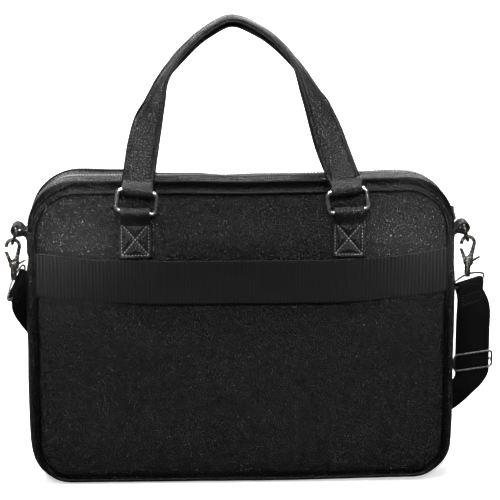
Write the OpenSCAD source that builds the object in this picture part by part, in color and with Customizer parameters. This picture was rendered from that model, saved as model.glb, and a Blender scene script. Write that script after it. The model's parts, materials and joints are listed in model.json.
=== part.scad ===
// Leather laptop briefcase: padded two-panel bag with a zipped top, ring-hung handles and a clip-on strap.
// +X to the right, -Y is the rear with the trolley band, +Z up; the origin is under the middle of the bag.

/* [Bag] */
// Width of the bag body
body_w = 410; // [380:5:440]
// Height of the bag body
body_h = 300; // [290:1:310]
// Depth over the two pipings
body_d = 78; // [74:1:84]
// Corner radius at the top
top_r = 48; // [44:1:52]
// Corner radius at the bottom
bottom_r = 38; // [30:1:44]
// Radius of the corded piping
piping_r = 3; // [2.5:0.5:3]
// Thickness of the outer leather
leather = 2; // [1.5:0.1:2]
// Thickness of the foam in each panel
foam = 4; // [2:0.5:5]

/* [Handles] */
// Distance of each ring from the middle of the bag
ring_x = 102; // [90:1:115]
// Height of the lower bar of the handle rings
ring_z = 271; // [268:1:274]
// Distance between the two bars of a handle ring
ring_rise = 20; // [18:1:22]
// Distance between the two sides of a handle ring
ring_span = 37.8; // [37:0.2:40]
// Radius of the handle ring wire
ring_wire = 1.9; // [1.5:0.1:1.9]
// Lean of each ring towards the middle, in degrees
ring_tilt = 8; // [0:1:8]
// Lean of both handles towards each other, in degrees
handle_lean = 13.2; // [13:0.1:14]
// Length of the handle from its ring to the top of its curve
handle_rise = 165; // [150:1:180]

/* [Webbing] */
// Width of the trolley band
band_w = 42; // [38:1:50]
// Height of the middle of the trolley band
band_z = 202; // [195:1:205]
// Room behind the trolley band
band_gap = 6; // [5:0.5:8]
// Width of the shoulder strap
strap_w = 36; // [32:1:36]
// Thickness of the shoulder strap
strap_t = 2.4; // [1.6:0.2:2.6]

/* [Side hardware] */
// Distance of the D-ring bars from the middle of the bag
side_x = 217; // [216:0.5:218]
// Height of the D-ring bars
side_z = 246.5; // [245:0.5:247]
// Outward lean of the hanging D-rings, in degrees
d_tilt = 20; // [16:1:22]
// Radius of the D-ring wire
d_wire = 1.6; // [1.4:0.1:1.6]

/* [Zip] */
// Half width of the straight part of the mouth
mouth_x = 155; // [140:1:155]
// Angle up the corner where the slider is parked, in degrees
slider_park = 15; // [14:1:16]

/* [Hidden] */

$fn = 40;
GAP = 0.3;                                   // air between soft pieces
half_w = body_w / 2;
panel_y = body_d / 2 - 1;                    // outer face of each panel
seam = 2 * piping_r + 0.2;                   // border between outline and panel
gusset_y = body_d / 2 - 2 * piping_r - 0.2;  // half width of the gusset
lining_in = leather + GAP;                   // inset of the lining
lining_t = 0.8;
lining_y = panel_y - leather - foam - 0.1;
arc_x = half_w - top_r;                      // centre of the right top corner
arc_z = body_h - top_r;
strip_edge = 6;                              // leather strips stop this far from the middle
tape_t = 2;
teeth_pitch = 3;

loop_r = 5.2;                                // rolled leather round a handle ring bar
ring_y = panel_y + loop_r + 1.3;
ring_top_x = ring_x - ring_rise * sin(ring_tilt);
ring_top_z = ring_z + ring_rise * cos(ring_tilt);

d_r = 14;                                    // bend radius of the D-rings
d_leg = 1;
hook_x = side_x + (d_leg + d_r) * sin(d_tilt);
hook_z = side_z - (d_leg + d_r) * cos(d_tilt);
hook_r = 6.2;                                // bend radius of the hook
hook_wire = 1.9;
hook_drop = d_wire + hook_wire + 0.06;       // hook crown to D-ring wire, centre to centre
rivet_z = -21.5;
collar_z = -28.5;                            // lower end of the hook's collar
swivel_x = 0.5;
wire_hole_z = -34.2;
loop_wire = 1.1;
loop_half = 16;                              // half of the straight bar of a wire loop
bow_h = 10;                                  // height of each wire loop's bow
// turn of each swivel about its own axis, tilt of its wire loop, and slip of the loop through its hole
left_turn = [55, 50, 2];
right_turn = [33, 7, -1.5];

// ---------- helpers ----------

// Points of the bag's outline, moved in by d: x, z
function corner(cx, cz, r, a0) = [for (i = [0:12]) [cx + r * cos(a0 + i * 7.5), cz + r * sin(a0 + i * 7.5)]];
function outline(d) = concat(
    corner(arc_x, arc_z, top_r - d, 0), corner(-arc_x, arc_z, top_r - d, 90),
    corner(-half_w + bottom_r, bottom_r, bottom_r - d, 180),
    corner(half_w - bottom_r, bottom_r, bottom_r - d, 270));

// A slab with the bag's outline from y0 to y1
module slab(d, y0, y1) translate([0, y1, 0]) rotate([90, 0, 0]) linear_extrude(y1 - y0) polygon(outline(d));

// A wall between two insets of the outline
module wall(d0, d1, y0, y1) difference() {
    slab(d0, y0, y1);
    slab(d1, y0 - 1, y1 + 1);
}

// Box from its two corners
module box(a, b) translate(a) cube(b - a);

module rear_to_front() mirror([0, 1, 0]) children();
module right_to_left() mirror([1, 0, 0]) children();

// Round rod between two points
module rod(p, q, r) {
    v = q - p;
    translate(p) rotate([0, acos(v[2] / norm(v)), atan2(v[1], v[0])]) cylinder(r = r, h = norm(v));
}

// Part of a ring in the XZ plane, from angle a0 to a1
module bend(radius, r, a0, a1) rotate([90, 0, 0]) rotate([0, 0, a0])
    rotate_extrude(angle = a1 - a0) translate([radius, 0]) circle(r);

// Catmull-Rom curve through rows of numbers
function cr(a, b, c, d, t) = 0.5 * (2 * b + (c - a) * t + (2 * a - 5 * b + 4 * c - d) * t * t
    + (3 * b - a - 3 * c + d) * t * t * t);
function curve(rows, steps) = let (n = len(rows)) concat(
    [for (i = [0:n - 2], k = [0:steps - 1])
        cr(rows[max(i - 1, 0)], rows[i], rows[i + 1], rows[min(i + 2, n - 1)], k / steps)],
    [rows[n - 1]]);

// Closed solid through a list of rings that all have the same number of points
module skin(rings) {
    n = len(rings);
    m = len(rings[0]);
    points = [for (ring = rings, p = ring) p];
    sides = [for (i = [0:n - 2], j = [0:m - 1]) let (k = (j + 1) % m)
        each [[i * m + j, i * m + k, (i + 1) * m + k], [i * m + j, (i + 1) * m + k, (i + 1) * m + j]]];
    first = [[for (j = [m - 1:-1:0]) j]];
    last = [[for (j = [0:m - 1]) (n - 1) * m + j]];
    polyhedron(points, concat(sides, first, last), convexity = 6);
}

// Bore that widens to both ends, so that a tilted bar can turn in it
module flared_bore(half, r_mid, r_end) for (s = [-1, 1]) rotate([0, s * 90, 0])
    translate([0, 0, -0.01]) cylinder(r1 = r_mid, r2 = r_end, h = half + 0.5);

// ---------- body ----------

module rear_panel() color("#1c1c1d") slab(seam, -panel_y, -panel_y + leather);
module front_panel() color("#1c1c1d") slab(seam, panel_y - leather, panel_y);
module rear_padding() color("#6b6b6b") slab(seam + 1, -panel_y + leather, -panel_y + leather + foam);
module front_padding() color("#6b6b6b") slab(seam + 1, panel_y - leather - foam, panel_y - leather);

module piping() color("#232324") {
    y = panel_y - 2;
    r = piping_r - 0.05;
    a = top_r - piping_r;
    b = bottom_r - piping_r;
    bx = half_w - bottom_r;
    for (m = [0, 1]) mirror([m, 0, 0]) {
        translate([arc_x, -y, arc_z]) bend(a, r, 0, 90);
        translate([bx, -y, bottom_r]) bend(b, r, 270, 360);
        rod([half_w - piping_r, -y, bottom_r], [half_w - piping_r, -y, arc_z], r);
    }
    rod([-arc_x, -y, body_h - piping_r], [arc_x, -y, body_h - piping_r], r);
    rod([-bx, -y, piping_r], [bx, -y, piping_r], r);
}
module rear_piping() piping();
module front_piping() rear_to_front() piping();

// Side and bottom strip, up to where the zip begins
module gusset() color("#1a1a1b") difference() {
    wall(0, leather, -gusset_y, gusset_y);
    box([-half_w - 1, -body_d, arc_z], [half_w + 1, body_d, body_h + 1]);
}

module base_board() color("#4a4238")
    box([-half_w + bottom_r + 2, -26, 3.3], [half_w - bottom_r - 2, 26, 5.6]);

// Open-topped fabric pouch, slotted for the zip at both corners
module lining() color("#2b2d31") difference() {
    slab(lining_in, -lining_y, lining_y);
    difference() {
        slab(lining_in + lining_t, -lining_y + lining_t, lining_y - lining_t);
        box([-half_w, -body_d, 0], [half_w, body_d, 6.8]);
    }
    box([-half_w + bottom_r, -27, 0], [half_w - bottom_r, 27, 5.9]);
    box([-mouth_x, -body_d, body_h - 6], [mouth_x, body_d, body_h]);
    for (s = [-1, 1]) translate([s * half_w, 0, arc_z + 24])
        cube([2 * (half_w - mouth_x), 14, 48], center = true);
}

divider_y = 10;
module laptop_divider() color("#33353a") intersection() {
    slab(lining_in + lining_t + 1, -divider_y - 3, -divider_y + 3);
    box([-half_w, -body_d, 7.2], [half_w, body_d, 258]);
}

// Fastening strip over the laptop, hinged at the rear wall
module laptop_strap() color("#222326") {
    y0 = -lining_y + lining_t + 0.6;
    box([-16, y0, 262], [16, -divider_y + 2, 264]);
    box([-16, y0, 258.6], [16, y0 + 1.8, 262]);
}

// Organiser pocket on the front wall
module inner_pocket() color("#2f3136") {
    y1 = lining_y - lining_t;
    box([-120, y1 - 8.5, 70], [120, y1 - 7.3, 220]);
    box([-120, y1 - 7.3, 70], [120, y1, 71.2]);
    for (x = [-120, 118.8]) box([x, y1 - 7.3, 71.2], [x + 1.2, y1, 220]);
}

module corner_strip_pair() color("#1a1a1b") intersection() {
    wall(0, leather, -gusset_y, -strip_edge);
    for (m = [0, 1]) mirror([m, 0, 0]) box([mouth_x + 0.2, -body_d, arc_z], [half_w + 1, 0, body_h + 1]);
}
module rear_corner_strips() corner_strip_pair();
module front_corner_strips() rear_to_front() corner_strip_pair();

// Closed zip round both top corners, split down the middle for the slider's neck
module corner_zips() color("#9a9a9c") for (s = [-1, 1], m = [0, 1]) mirror([m, 0, 0]) intersection() {
    wall(0, tape_t, s > 0 ? 0.8 : -strip_edge + 0.1, s > 0 ? strip_edge - 0.1 : -0.8);
    box([mouth_x + 0.2, -body_d, arc_z + 0.2], [half_w + 1, body_d, body_h + 1]);
}

module zip_end_tabs() color("#1d1d1e") for (s = [-1, 1])
    translate([s * (half_w + 0.6), 0, arc_z - 1.2]) cube([1.1, 14, 3], center = true);

// Distance of the band from the panel at x, a smooth step on each side
function stand_off(x) = let (t = min(1, max(0, (135 - abs(x)) / 60))) band_gap * t * t * (3 - 2 * t);
// Rise of the band's middle line towards its sewn ends
function band_rise(x) = let (t = max(0, abs(x) - 90) / 108) 10 * t * t;

// Webbing sleeve that stands off the panel between its sewn ends, which are higher than its middle
module trolley_band() color("#151516") intersection() {
    x1 = half_w - seam - 0.4;
    knots = [-x1, each [-190:12:-142], each [-130:10:-70], each [70:10:130], each [142:12:190], x1];
    translate([0, 0, band_z - band_w]) linear_extrude(2 * band_w) polygon(concat(
        [for (x = knots) [x, -panel_y - stand_off(x)]],
        [for (i = [len(knots) - 1:-1:0]) [knots[i], -panel_y - stand_off(knots[i]) - 1.6]]));
    translate([0, -panel_y + 1, 0]) rotate([90, 0, 0]) linear_extrude(20) polygon(concat(
        [for (x = knots) [x, band_z - band_w / 2 + band_rise(x)]],
        [for (i = [len(knots) - 1:-1:0]) [knots[i], band_z + band_w / 2 + band_rise(knots[i])]]));
}

// Tab that holds the lower bar of a handle ring
module handle_tab() color("#1b1b1c") translate([ring_x, 0, ring_z]) difference() {
    union() {
        box([-16, -panel_y - 3.6, -46], [16, -panel_y, -9]);
        rotate([90, 0, 90]) translate([0, 0, -14.5]) linear_extrude(29) polygon([
            [-panel_y, -9.5], [-panel_y - 3.6, -9.5], [-ring_y - 4.3, -3], [-ring_y, 0],
            [-panel_y - 1.5, -1]]);
        translate([-14.5, -ring_y, 0]) rotate([0, 90, 0]) cylinder(r = loop_r, h = 29);
    }
    translate([0, -ring_y, 0]) flared_bore(14.5, ring_wire + 0.1, ring_wire + 2.3);
}
module rear_right_tab() handle_tab();
module rear_left_tab() right_to_left() handle_tab();
module front_right_tab() rear_to_front() handle_tab();
module front_left_tab() rear_to_front() right_to_left() handle_tab();

// Leather loop on the gusset for a D-ring
module side_tab() color("#1c1c1d") difference() {
    union() {
        translate([side_x, 11.5, side_z]) rotate([90, 0, 0]) cylinder(r = 5.8, h = 23);
        box([half_w + 0.1, -11.5, side_z - 4.4], [side_x, 11.5, side_z + 2.6]);
        box([half_w + 0.1, -11.5, side_z - 24], [half_w + 2.3, 11.5, side_z - 4.4]);
    }
    translate([side_x, 13, side_z]) rotate([90, 0, 0]) cylinder(r = d_wire + 0.08, h = 26);
}
module right_side_tab() side_tab();
module left_side_tab() right_to_left() side_tab();

// Slip pocket on the front panel
pocket_y = panel_y + 0.1;
module front_pocket() color("#1c1c1d") {
    box([-165, pocket_y + 8.5, 36], [165, pocket_y + 10.5, 205]);
    box([-165, pocket_y, 36], [165, pocket_y + 8.5, 38]);
    for (x = [-165, 163]) box([x, pocket_y, 38], [x + 2, pocket_y + 8.5, 205]);
}

// ---------- shoulder strap ----------

// Each row: x, y, z of the middle line and the direction across the strap
strap_left = [
    [-217.9, 9.3, 187.3, 37, 53, 77], [-217.7, 17.5, 181.6, 38, 54, 76], [-216, 29, 170, 45, 70, 50],
    [-210.5, 42, 157, 62, 72, 30], [-200, 52.5, 141, 82, 50, 28], [-185, 59, 122, 82, 15, 55],
    [-162, 61, 94, 72, 0, 69], [-130, 60, 60, 58, 0, 81], [-92, 59, 34, 38, 0, 92],
    [-50, 58, 21, 12, 0, 99], [0, 58, 20, 0, 0, 100], [120, 58, 20, 0, 0, 100]];
strap_right = [
    [-120, 77, 20, 0, 0, 100], [20, 77, 20, 0, 0, 100], [80, 77, 20.5, -2, 0, 100],
    [125, 76.5, 25, -16, 0, 98], [160, 73.5, 34, -34, 0, 94], [190, 66, 46, -56, 4, 83],
    [207.4, 58.1, 56, -80, -4, 55], [220.9, 49.1, 67, -94, -14, 22], [228.2, 34.1, 78, -95, -20, 2],
    [232, 20.9, 91.2, -96, -20, -8], [231.6, 17.9, 104, -96, -20, -8], [230.6, 10, 137.5, -96, -20, -8],
    [229.9, 4.7, 160, -95, -24, -8], [226.9, 2.5, 174.5, -83, -54, -12], [225.5, 1.8, 183.4, -83, -54, -12]];
turn_r = (77 - 58) / 4;                      // radius of the two flat turns on the floor

function unit(v) = v / norm(v);
function strap_ring(p, across, along) = let (
    n = unit(cross(along, across)), w = unit(cross(n, along)), a = w * strap_w / 2, b = n * strap_t / 2)
    [p + a + b, p - a + b, p - a - b, p + a - b];
function strap_rings(rows) = let (c = curve(rows, 3), n = len(c)) [for (i = [0:n - 1]) let (
    p = [for (k = [0:2]) c[i][k]], q = [for (k = [0:2]) c[min(i + 1, n - 1)][k]],
    o = [for (k = [0:2]) c[max(i - 1, 0)][k]]) strap_ring(p, [for (k = [3:5]) c[i][k]], q - o)];
function turn_rings(cx, cy, side) = [for (a = [15:15:165]) let (u = [side * sin(a), -cos(a), 0])
    strap_ring([cx, cy, 20] + turn_r * u, [0, 0, 100], [side * cos(a), sin(a), 0])];

module shoulder_strap() color("#101011") skin(concat(
    strap_rings(strap_left),
    turn_rings(120, 58 + turn_r, 1),
    [strap_ring([120, 58 + 2 * turn_r, 20], [0, 0, 100], [-1, 0, 0]),
     strap_ring([-120, 58 + 2 * turn_r, 20], [0, 0, 100], [-1, 0, 0])],
    turn_rings(-120, 58 + 3 * turn_r, -1),
    strap_rings(strap_right)));

// Places its children on the middle of a wire loop's bar, X along the bar, Z towards the swivel
module at_bar(side, turn) translate([side * hook_x + swivel_x, 0, hook_z + wire_hole_z])
    rotate([0, 0, turn[0]]) rotate([0, -turn[1], 0]) translate([-turn[2], 0, -bow_h]) children();

// Turned and sewn ends of the strap, round the bars of the wire loops
module end_loop() rotate([0, 90, 0]) difference() {
    translate([0, 0, 0.2 - loop_half]) cylinder(r = 4.4, h = 2 * loop_half - 0.4);
    translate([0, 0, -loop_half - 1]) cylinder(r = loop_wire + 2.1, h = 2 * loop_half + 2);
}
module strap_end_loops() color("#121213") {
    at_bar(-1, left_turn) end_loop();
    at_bar(1, right_turn) end_loop();
}

// ---------- zip ----------

module zip_flap() color("#1a1a1b")
    box([-mouth_x, -gusset_y + 0.1, body_h - leather], [mouth_x, -strip_edge, body_h]);
module rear_zip_flap() zip_flap();
module front_zip_flap() rear_to_front() zip_flap();

// Tape with a row of teeth; shift moves the row along so that the two sides interleave
module zip_teeth(shift) color("#a8a8aa") translate([0, 0, body_h - tape_t]) linear_extrude(tape_t) {
    n = floor((2 * mouth_x - 8) / teeth_pitch);
    x0 = -n * teeth_pitch / 2 + shift;
    polygon(concat([[-mouth_x, -strip_edge + 0.02], [-mouth_x, -1.6]],
        [for (i = [0:n - 1], p = [[0, -1.6], [0, 1.3], [1.2, 1.3], [1.2, -1.6]])
            [x0 + i * teeth_pitch + p[0], p[1]]],
        [[mouth_x, -1.6], [mouth_x, -strip_edge + 0.02]]));
}
module rear_zip_teeth() zip_teeth(0);
module front_zip_teeth() rear_to_front() zip_teeth(teeth_pitch / 2);

// Places its children on the outline at the slider, X outward, Z up the corner
module at_slider() translate([arc_x, 0, arc_z]) rotate([0, -slider_park, 0]) translate([top_r, 0, 0])
    children();

bail_x = 3.4;                                // axis of the pull above the outline
module zip_slider() color("#6d6a66") at_slider() {
    for (x = [0.5, -3.9]) translate([x, -4, -4.6]) cube([1.3, 8, 9.2]);
    translate([-3.9, -0.45, -2]) cube([5, 0.9, 4]);
    translate([1.7, -1.3, -1.6]) cube([bail_x - 1.7, 2.6, 3.2]);
    rod([bail_x, -1.3, 0], [bail_x, 1.3, 0], 1.6);
    rod([bail_x, -3, 0], [bail_x, 3, 0], 0.8);
}

pull_len = 12;
module zip_pull() color("#5d5a56") at_slider() translate([bail_x, 0, 0]) difference() {
    union() {
        for (y = [-2.8, 1.6]) {
            translate([-0.8, y, -pull_len + 1]) cube([1.6, 1.2, pull_len - 1]);
            rod([0, y, 0], [0, y + 1.2, 0], 1.5);
        }
        translate([-0.8, -2.8, -pull_len]) cube([1.6, 5.6, 7.4]);
    }
    rod([0, -4, 0], [0, 4, 0], 0.86);
}

// ---------- handles ----------

// Rectangular ring, its lower bar centred on the origin
module rect_ring(span, rise, r) {
    c = 4;
    h = span / 2;
    for (m = [0, 1]) mirror([m, 0, 0]) {
        translate([h - c, 0, rise - c]) bend(c, r, 0, 90);
        translate([h - c, 0, c]) bend(c, r, 270, 360);
        rod([h, 0, c], [h, 0, rise - c], r);
    }
    for (z = [0, rise]) rod([-h + c, 0, z], [h - c, 0, z], r);
}
module handle_ring() color("#b9b8b4") translate([ring_x, -ring_y, ring_z])
    rotate([0, -ring_tilt, 0]) rect_ring(ring_span, ring_rise, ring_wire);
module rear_right_ring() handle_ring();
module rear_left_ring() right_to_left() handle_ring();
module front_right_ring() rear_to_front() handle_ring();
module front_left_ring() rear_to_front() right_to_left() handle_ring();

// Right half of a handle: distance from the middle, distance up, width, thickness
handle_rows = [[98.3, 5.4, 30, 4.6], [94.8, 30, 31, 4.6], [88, 57, 27.5, 5], [81, 82, 21, 7],
    [69, 107, 15, 10], [52, 131, 11.5, 12.4], [29, 153, 12, 13], [0, handle_rise, 13.6, 13]];
function left_half(rows) = [for (r = rows) [-r[0], r[1], r[2], r[3]]];
function backwards(list) = [for (i = [len(list) - 1:-1:0]) list[i]];
function handle_ring_at(p, q, o) = let (
    t = unit([q[0] - o[0], q[1] - o[1]]), a = [t[1], -t[0]] * p[2] / 2, e = p[2] > 20 ? 0.35 : 0.8)
    [for (k = [0:11]) let (u = cos(k * 30 + 15), v = sin(k * 30 + 15),
        x = sign(u) * pow(abs(u), e), y = sign(v) * pow(abs(v), 0.8))
        [p[0] + a[0] * x, p[3] / 2 * y, p[1] + a[1] * x]];

// Places its children on the upper bars of a handle's rings, leaning with the handle
module at_handle() translate([0, -ring_y, ring_top_z]) rotate([-handle_lean, 0, 0]) children();

module handle() color("#1b1b1c") at_handle() {
    rows = curve(concat(left_half(handle_rows), backwards([for (i = [0:6]) handle_rows[i]])), 3);
    n = len(rows);
    skin([for (i = [0:n - 1]) handle_ring_at(rows[i], rows[min(i + 1, n - 1)], rows[max(i - 1, 0)])]);
}
module rear_handle() handle();
module front_handle() rear_to_front() handle();

// Turned-back ends of a handle, rolled round the rings
module handle_loops() color("#1b1b1c") at_handle() for (s = [-1, 1])
    translate([s * ring_top_x, 0, 0]) rotate([0, -s * ring_tilt, 0]) difference() {
        rotate([0, 90, 0]) translate([0, 0, -14.5]) cylinder(r = loop_r, h = 29);
        flared_bore(14.5, ring_wire + 0.1, ring_wire + 2.4);
    }
module rear_handle_loops() handle_loops();
module front_handle_loops() rear_to_front() handle_loops();

// ---------- side hardware ----------

module d_ring() color("#8d8a84") translate([side_x, 0, side_z]) rotate([0, -d_tilt, 0]) rotate([0, 0, 90]) {
    rod([-d_r, 0, 0], [d_r, 0, 0], d_wire);
    for (s = [-1, 1]) {
        translate([s * d_r, 0, 0]) sphere(d_wire);
        rod([s * d_r, 0, -d_leg], [s * d_r, 0, 0], d_wire);
    }
    translate([0, 0, -d_leg]) bend(d_r, d_wire, 180, 360);
}
module right_d_ring() d_ring();
module left_d_ring() right_to_left() d_ring();

// Places its children on the D-ring wire that a hook hangs from
module at_hook(side) translate([side * hook_x, 0, hook_z]) children();

// Hook with a slotted body for the trigger and a collar for the swivel
module hook() color("#5f5b55") {
    crown = hook_drop - hook_r;
    difference() {
        union() {
            translate([swivel_x, 0, crown]) bend(hook_r, hook_wire, -15, 190);
            hull() {
                translate([swivel_x + hook_r * cos(15), 0, crown - hook_r * sin(15)])
                    sphere(hook_wire, $fn = 24);
                translate([swivel_x + 3.4, 0, -15]) sphere(2.3, $fn = 24);
            }
            hull() {
                translate([swivel_x + 3.4, 0, -15]) sphere(2.3, $fn = 24);
                translate([swivel_x + 0.6, 0, rivet_z]) scale([1, 0.62, 1]) sphere(5.4, $fn = 32);
            }
            translate([swivel_x, 0, collar_z]) cylinder(r = 3.1, h = 5);
        }
        box([-12, -1.2, collar_z + 2.4], [1.6, 1.2, -6]);
        box([1.4, -1.2, collar_z + 2.4], [14, 1.2, -16.4]);
        translate([swivel_x, 4, rivet_z]) rotate([90, 0, 0]) cylinder(r = 1.3, h = 8);
        translate([swivel_x, 0, collar_z - 1]) cylinder(r = 1.55, h = 4);
        translate([swivel_x, 0, collar_z + 0.8]) cylinder(r = 2.15, h = 2);
    }
}
module left_hook() at_hook(-1) hook();
module right_hook() at_hook(1) hook();

// Gate, hub and thumb lever in one piece
module trigger() color("#77736c") translate([swivel_x, 0, rivet_z]) difference() {
    union() {
        translate([0, 1, 0]) rotate([90, 0, 0]) cylinder(r = 4, h = 2);
        translate([0, 1, 0]) rotate([90, 0, 0]) linear_extrude(2) polygon([
            [-3.9, -1], [-8.4, 13.4], [-5.2, 13.4], [-1.2, 4]]);
        translate([0, 1, 0]) rotate([90, 0, 0]) linear_extrude(2) polygon([
            [2.6, -1.6], [3.4, 1.4], [11.6, 6], [12.4, 4.2], [3.9, -0.8]]);
    }
    translate([0, 3, 0]) rotate([90, 0, 0]) cylinder(r = 1.25, h = 6);
}
module left_trigger() at_hook(-1) trigger();
module right_trigger() at_hook(1) trigger();

module rivet() color("#94908a") translate([swivel_x, 0, rivet_z]) rotate([90, 0, 0]) {
    translate([0, 0, -4.1]) cylinder(r = 1.2, h = 8.2);
    for (z = [-4.8, 3.7]) translate([0, 0, z]) cylinder(r = 2, h = 1.1);
}
module left_rivet() at_hook(-1) rivet();
module right_rivet() at_hook(1) rivet();

// Barrel under the hook, with a head inside the collar and a cross hole for the wire loop
module swivel(turn) color("#5f5b55") difference() {
    translate([swivel_x, 0, collar_z]) {
        translate([0, 0, 1]) cylinder(r = 2.05, h = 1.2);
        translate([0, 0, -0.6]) cylinder(r = 1.45, h = 2);
        for (z = [-2.6, -5]) translate([0, 0, z]) cylinder(r = 3.3, h = 1.5);
        translate([0, 0, -8]) cylinder(r = 2.8, h = 7.6);
    }
    wire_loop(turn, 0.06);
}
module left_swivel() at_hook(-1) swivel(left_turn);
module right_swivel() at_hook(1) swivel(right_turn);

// Bowed wire loop: a straight bar, two small corners and a bow that runs through the swivel's hole
module wire_loop(turn, extra) {
    a = loop_half;
    c = 3.4;
    big = (a * a + (bow_h - c) * (bow_h - c) - c * c) / (2 * (bow_h - 2 * c));
    reach = atan2(a, c - bow_h + big);
    r = loop_wire + extra;
    translate([swivel_x, 0, wire_hole_z]) rotate([0, 0, turn[0]]) rotate([0, -turn[1], 0])
        translate([-turn[2], 0, -bow_h]) {
            rod([-a, 0, 0], [a, 0, 0], r);
            for (m = [0, 1]) mirror([m, 0, 0]) translate([a, 0, c]) bend(c, r, -90, 90 - reach);
            translate([0, 0, bow_h - big]) bend(big, r, 90 - reach, 90 + reach);
        }
}
module left_wire_loop() color("#8a867f") at_hook(-1) wire_loop(left_turn, 0);
module right_wire_loop() color("#8a867f") at_hook(1) wire_loop(right_turn, 0);

// ---------- strap adjuster ----------

// Where the strap is at the adjuster, the direction across it, and the direction up it
adj_p = [231.6, 17.9, 104];
adj_up = unit([-1, -7.8, 33.2]);
adj_y = unit(cross(adj_up, [96, 20, 8]));
adj_x = cross(adj_y, adj_up);
module at_adjuster() multmatrix([
    [adj_x[0], adj_y[0], adj_up[0], adj_p[0]], [adj_x[1], adj_y[1], adj_up[1], adj_p[1]],
    [adj_x[2], adj_y[2], adj_up[2], adj_p[2]], [0, 0, 0, 1]]) children();
frame_off = strap_t / 2 + 1.75;              // frame wire to the strap's middle
module strap_adjuster_frame() color("#6f6c66") at_adjuster() translate([0, -frame_off, -6])
    rect_ring(strap_w + 3.6, 18, 1.1);

// Centre bar behind the strap, with lugs that reach forward to the frame
module strap_adjuster_bar() color("#6f6c66") at_adjuster() {
    rod([-strap_w / 2 - 3.4, 3.2, 0], [strap_w / 2 + 3.4, 3.2, 0], 1.2);
    for (x = [-strap_w / 2 - 1.8, strap_w / 2 + 1.8]) rod([x, 3.2, 0], [x, 1.12 - frame_off, 0], 1);
}

rear_panel();
front_panel();
rear_padding();
front_padding();
gusset();
base_board();
rear_piping();
front_piping();
lining();
laptop_divider();
laptop_strap();
inner_pocket();
rear_corner_strips();
front_corner_strips();
corner_zips();
zip_end_tabs();
trolley_band();
rear_left_tab();
rear_right_tab();
front_left_tab();
front_right_tab();
left_side_tab();
right_side_tab();
front_pocket();
shoulder_strap();
strap_end_loops();
rear_zip_flap();
rear_zip_teeth();
front_zip_flap();
front_zip_teeth();
zip_slider();
zip_pull();
rear_left_ring();
rear_right_ring();
front_left_ring();
front_right_ring();
rear_handle();
front_handle();
rear_handle_loops();
front_handle_loops();
left_d_ring();
right_d_ring();
left_hook();
right_hook();
left_trigger();
right_trigger();
left_rivet();
right_rivet();
left_swivel();
right_swivel();
left_wire_loop();
right_wire_loop();
strap_adjuster_frame();
strap_adjuster_bar();
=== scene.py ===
import json
import math

import bmesh
import bpy
from mathutils import Matrix, Vector, noise


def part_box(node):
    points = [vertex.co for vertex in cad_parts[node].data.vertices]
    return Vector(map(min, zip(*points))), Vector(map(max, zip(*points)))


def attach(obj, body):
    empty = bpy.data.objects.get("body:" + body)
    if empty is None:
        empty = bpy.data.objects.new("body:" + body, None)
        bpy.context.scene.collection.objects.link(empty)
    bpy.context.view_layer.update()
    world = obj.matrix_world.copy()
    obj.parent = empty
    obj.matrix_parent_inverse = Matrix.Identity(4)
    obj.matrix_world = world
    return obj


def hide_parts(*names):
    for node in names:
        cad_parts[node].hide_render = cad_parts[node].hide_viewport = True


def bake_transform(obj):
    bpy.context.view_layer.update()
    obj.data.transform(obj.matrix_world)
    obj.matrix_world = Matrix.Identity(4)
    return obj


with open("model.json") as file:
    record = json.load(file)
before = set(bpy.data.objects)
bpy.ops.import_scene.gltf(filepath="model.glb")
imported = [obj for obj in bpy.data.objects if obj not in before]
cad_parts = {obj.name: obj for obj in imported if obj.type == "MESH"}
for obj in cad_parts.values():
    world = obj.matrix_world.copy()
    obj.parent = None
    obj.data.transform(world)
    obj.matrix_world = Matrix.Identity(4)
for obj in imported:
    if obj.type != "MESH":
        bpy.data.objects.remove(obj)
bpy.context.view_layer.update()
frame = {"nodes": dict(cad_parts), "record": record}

MM = 0.001
# half width and height of the outline; the loaded piping is 0.05 mm short of whole millimetres
HALF, TOP = (float(round(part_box("rear_piping")[1][axis] / MM)) for axis in (0, 2))
TOP_R, BOT_R = 48.0, 38.0  # corner radii of the outline
FLAT_TOP, FLAT_BASE = HALF - TOP_R, HALF - BOT_R  # where the corners begin, from the middle
CORNER_Z = TOP - TOP_R  # where the top corners begin
SIDE_RUN = CORNER_Z - BOT_R
ZIP_END = FLAT_TOP + TOP_R * math.pi / 2  # outline distance from the top middle to each zip end
HALF_RUN = FLAT_TOP + (TOP_R + BOT_R) * math.pi / 2 + SIDE_RUN + FLAT_BASE
EDGE = 8.8  # the panel's edge inside the outline
STEP = 5.0  # spacing of the rings along the outline


def joint_at(name):
    """A joint's point in mm."""
    for joint in frame["record"]["behaviour"]["joints"]:
        if joint["name"] == name:
            return [round(v / MM, 3) for v in joint["pos_m"]]


# ---------- camera and light ----------


def linked(name, data):
    ob = bpy.data.objects.new(name, data)
    bpy.context.scene.collection.objects.link(ob)
    return ob


def aimed(name, data, at, aim):
    """An object at a place, turned to look at another."""
    ob = linked(name, data)
    ob.location = at
    ob.rotation_euler = (Vector(aim) - Vector(at)).to_track_quat("-Z", "Y").to_euler()
    return ob


def camera():
    az, el, dist = math.radians(-2.0), math.radians(12.0), 2.0
    aim = Vector((0.0077, -0.036, 0.2317))
    wide = 0.4795  # metres across the picture at the aim
    way = Vector((math.sin(az) * math.cos(el), -math.cos(az) * math.cos(el), math.sin(el)))
    data = bpy.data.cameras.new("camera")
    data.sensor_width = 36
    data.lens = data.sensor_width * dist / wide
    bpy.context.scene.camera = aimed("camera", data, aim + way * dist, aim)


def area(name, at, aim, size, power):
    data = bpy.data.lights.new(name, "AREA")
    data.shape = "RECTANGLE"
    data.size, data.size_y = size
    data.energy = power
    return aimed(name, data, at, aim)


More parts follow.
